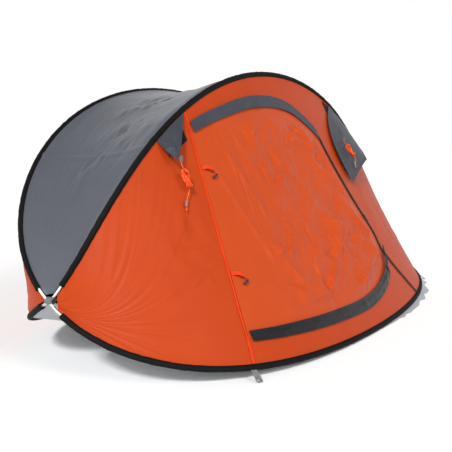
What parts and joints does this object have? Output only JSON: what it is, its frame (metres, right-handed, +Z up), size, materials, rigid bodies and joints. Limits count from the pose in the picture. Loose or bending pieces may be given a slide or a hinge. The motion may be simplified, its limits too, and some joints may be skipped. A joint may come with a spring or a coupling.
{
  "type": "pop-up tent",
  "caption": "Low pop-up tent: two crossing sprung pole hoops in sleeves, stretched fabric walls and roof, a zipped door, vent hoods with guy lines, and peg straps.",
  "frame": {"origin": "on the ground, midway between the two places where the hoops cross", "axes": "+X along the tent to its right end seen from the door, the door faces -Y, +Z up"},
  "size_m": [2.48, 1.2431, 1.0314],
  "materials": {
    "rod_fibreglass": "satin fibreglass",
    "ferrule_steel": "brushed",
    "sleeve_black": "woven polyester",
    "webbing_grey": "woven webbing",
    "webbing_strap": "woven webbing",
    "eyelet_metal": "plated",
    "roof_grey": "silver-coated polyester",
    "wall_orange": "coated polyester",
    "trim_grey": "coated polyester",
    "floor_grey": "coated woven sheet",
    "mesh_black": "fine mesh",
    "zip_black": "moulded coil and tape",
    "ribbon_orange": "ribbon",
    "guy_orange": "braided cord",
    "plastic_black": "moulded"
  },
  "bodies": {
    "tent": {"crossing_wrap_left": "webbing_grey", "crossing_wrap_right": "webbing_grey", "ferrule_inner_left": "ferrule_steel", "ferrule_inner_right": "ferrule_steel", "ferrule_outer_left": "ferrule_steel", "ferrule_outer_right": "ferrule_steel", "groundsheet": "floor_grey", "groundsheet_side_front": "floor_grey", "groundsheet_side_rear": "floor_grey", "rod_arch_front": "rod_fibreglass", "rod_arch_rear": "rod_fibreglass", "rod_ground_front": "rod_fibreglass", "rod_ground_rear": "rod_fibreglass", "roof_left": "roof_grey", "roof_middle": "roof_grey", "roof_right": "roof_grey", "seam_ribbon": "ribbon_orange", "sleeve_arch_front": "sleeve_black", "sleeve_arch_rear": "sleeve_black", "sleeve_ground_front": "sleeve_black", "sleeve_ground_rear": "sleeve_black", "vent_mesh_left": "mesh_black", "vent_mesh_right": "mesh_black", "wall_front_header": "wall_orange", "wall_front_left": "wall_orange", "wall_front_right": "wall_orange", "wall_front_sill": "wall_orange", "wall_rear": "wall_orange", "zip_tape": "zip_black"},
    "door": {"door_panel": "wall_orange", "flap_top": "trim_grey", "flap_foot": "trim_grey", "tie_ribbon_upper": "ribbon_orange", "tie_ribbon_lower": "ribbon_orange"},
    "slider": {"zip_slider": "zip_black"},
    "puller": {"zip_puller": "zip_black"},
    "toggle_upper": {"tie_toggle_upper": "plastic_black"},
    "toggle_lower": {"tie_toggle_lower": "plastic_black"},
    "hood_left": {"vent_hood_left": "trim_grey", "guy_tab_left": "webbing_grey", "guy_left": "guy_orange", "guy_left_hank": "guy_orange", "guy_left_tail": "guy_orange"},
    "runner_left": {"guy_left_runner": "plastic_black"},
    "hood_right": {"vent_hood_right": "trim_grey", "guy_tab_right": "webbing_grey", "guy_right": "guy_orange", "guy_right_hank": "guy_orange", "guy_right_tail": "guy_orange"},
    "runner_right": {"guy_right_runner": "plastic_black"},
    "strap_front_left": {"peg_strap_front_left": "webbing_strap", "peg_eyelet_front_left": "eyelet_metal"},
    "strap_front_right": {"peg_strap_front_right": "webbing_strap", "peg_eyelet_front_right": "eyelet_metal"},
    "strap_rear_left": {"peg_strap_rear_left": "webbing_strap", "peg_eyelet_rear_left": "eyelet_metal"},
    "strap_rear_right": {"peg_strap_rear_right": "webbing_strap", "peg_eyelet_rear_right": "eyelet_metal"}
  },
  "joints": [
    {"name": "door_swing", "type": "hinge", "parent": "tent", "child": "door", "pos_m": [-0.87891, -0.50115, 0.12123], "axis": [0.1898, 0.4198, 0.8875], "range_deg": [-105, 0]},
    {"name": "zip_slide", "type": "slide", "parent": "door", "child": "slider", "axis": [-0.3044, 0.4388, 0.8454], "range_m": [0, 0.2]},
    {"name": "puller_lift", "type": "hinge", "parent": "slider", "child": "puller", "pos_m": [0.27521, -0.46316, 0.39931], "axis": [-0.9509, -0.1926, -0.2424], "range_deg": [0, 150]},
    {"name": "toggle_upper_turn", "type": "hinge", "parent": "door", "child": "toggle_upper", "pos_m": [-0.73026, -0.28768, 0.61542], "axis": [0.057, -0.8785, 0.4743], "range_deg": [-50, 50]},
    {"name": "toggle_lower_turn", "type": "hinge", "parent": "door", "child": "toggle_lower", "pos_m": [-0.80113, -0.45096, 0.27749], "axis": [0.057, -0.8785, 0.4743], "range_deg": [-50, 50]},
    {"name": "hood_left_lift", "type": "hinge", "parent": "tent", "child": "hood_left", "pos_m": [-0.81848, -0.16551, 0.78357], "axis": [0.8396, -0.0064, 0.5431], "range_deg": [-30, 0]},
    {"name": "hood_right_lift", "type": "hinge", "parent": "tent", "child": "hood_right", "pos_m": [0.73165, -0.16538, 0.83478], "axis": [0.8751, -0.0014, -0.4839], "range_deg": [-25, 0]},
    {"name": "runner_left_slide", "type": "slide", "parent": "hood_left", "child": "runner_left", "axis": [-0.4105, -0.2161, -0.8859], "range_m": [-0.002, 0.004]},
    {"name": "runner_right_slide", "type": "slide", "parent": "hood_right", "child": "runner_right", "axis": [-0.1518, -0.1822, -0.9715], "range_m": [-0.002, 0.004]},
    {"name": "strap_front_left_lift", "type": "hinge", "parent": "tent", "child": "strap_front_left", "pos_m": [-0.91455, -0.54288, 0.02936], "axis": [-0.9031, 0.4254, 0.0581], "range_deg": [0, 60]},
    {"name": "strap_front_right_lift", "type": "hinge", "parent": "tent", "child": "strap_front_right", "pos_m": [0.91455, -0.54288, 0.02936], "axis": [-0.9031, -0.4254, -0.0581], "range_deg": [0, 60]},
    {"name": "strap_rear_left_lift", "type": "hinge", "parent": "tent", "child": "strap_rear_left", "pos_m": [-0.44903, 0.4978, 0.02148], "axis": [0.9903, 0.1274, -0.0552], "range_deg": [0, 60]},
    {"name": "strap_rear_right_lift", "type": "hinge", "parent": "tent", "child": "strap_rear_right", "pos_m": [0.44903, 0.4978, 0.02148], "axis": [0.9903, -0.1274, 0.0552], "range_deg": [0, 60]}
  ]
}
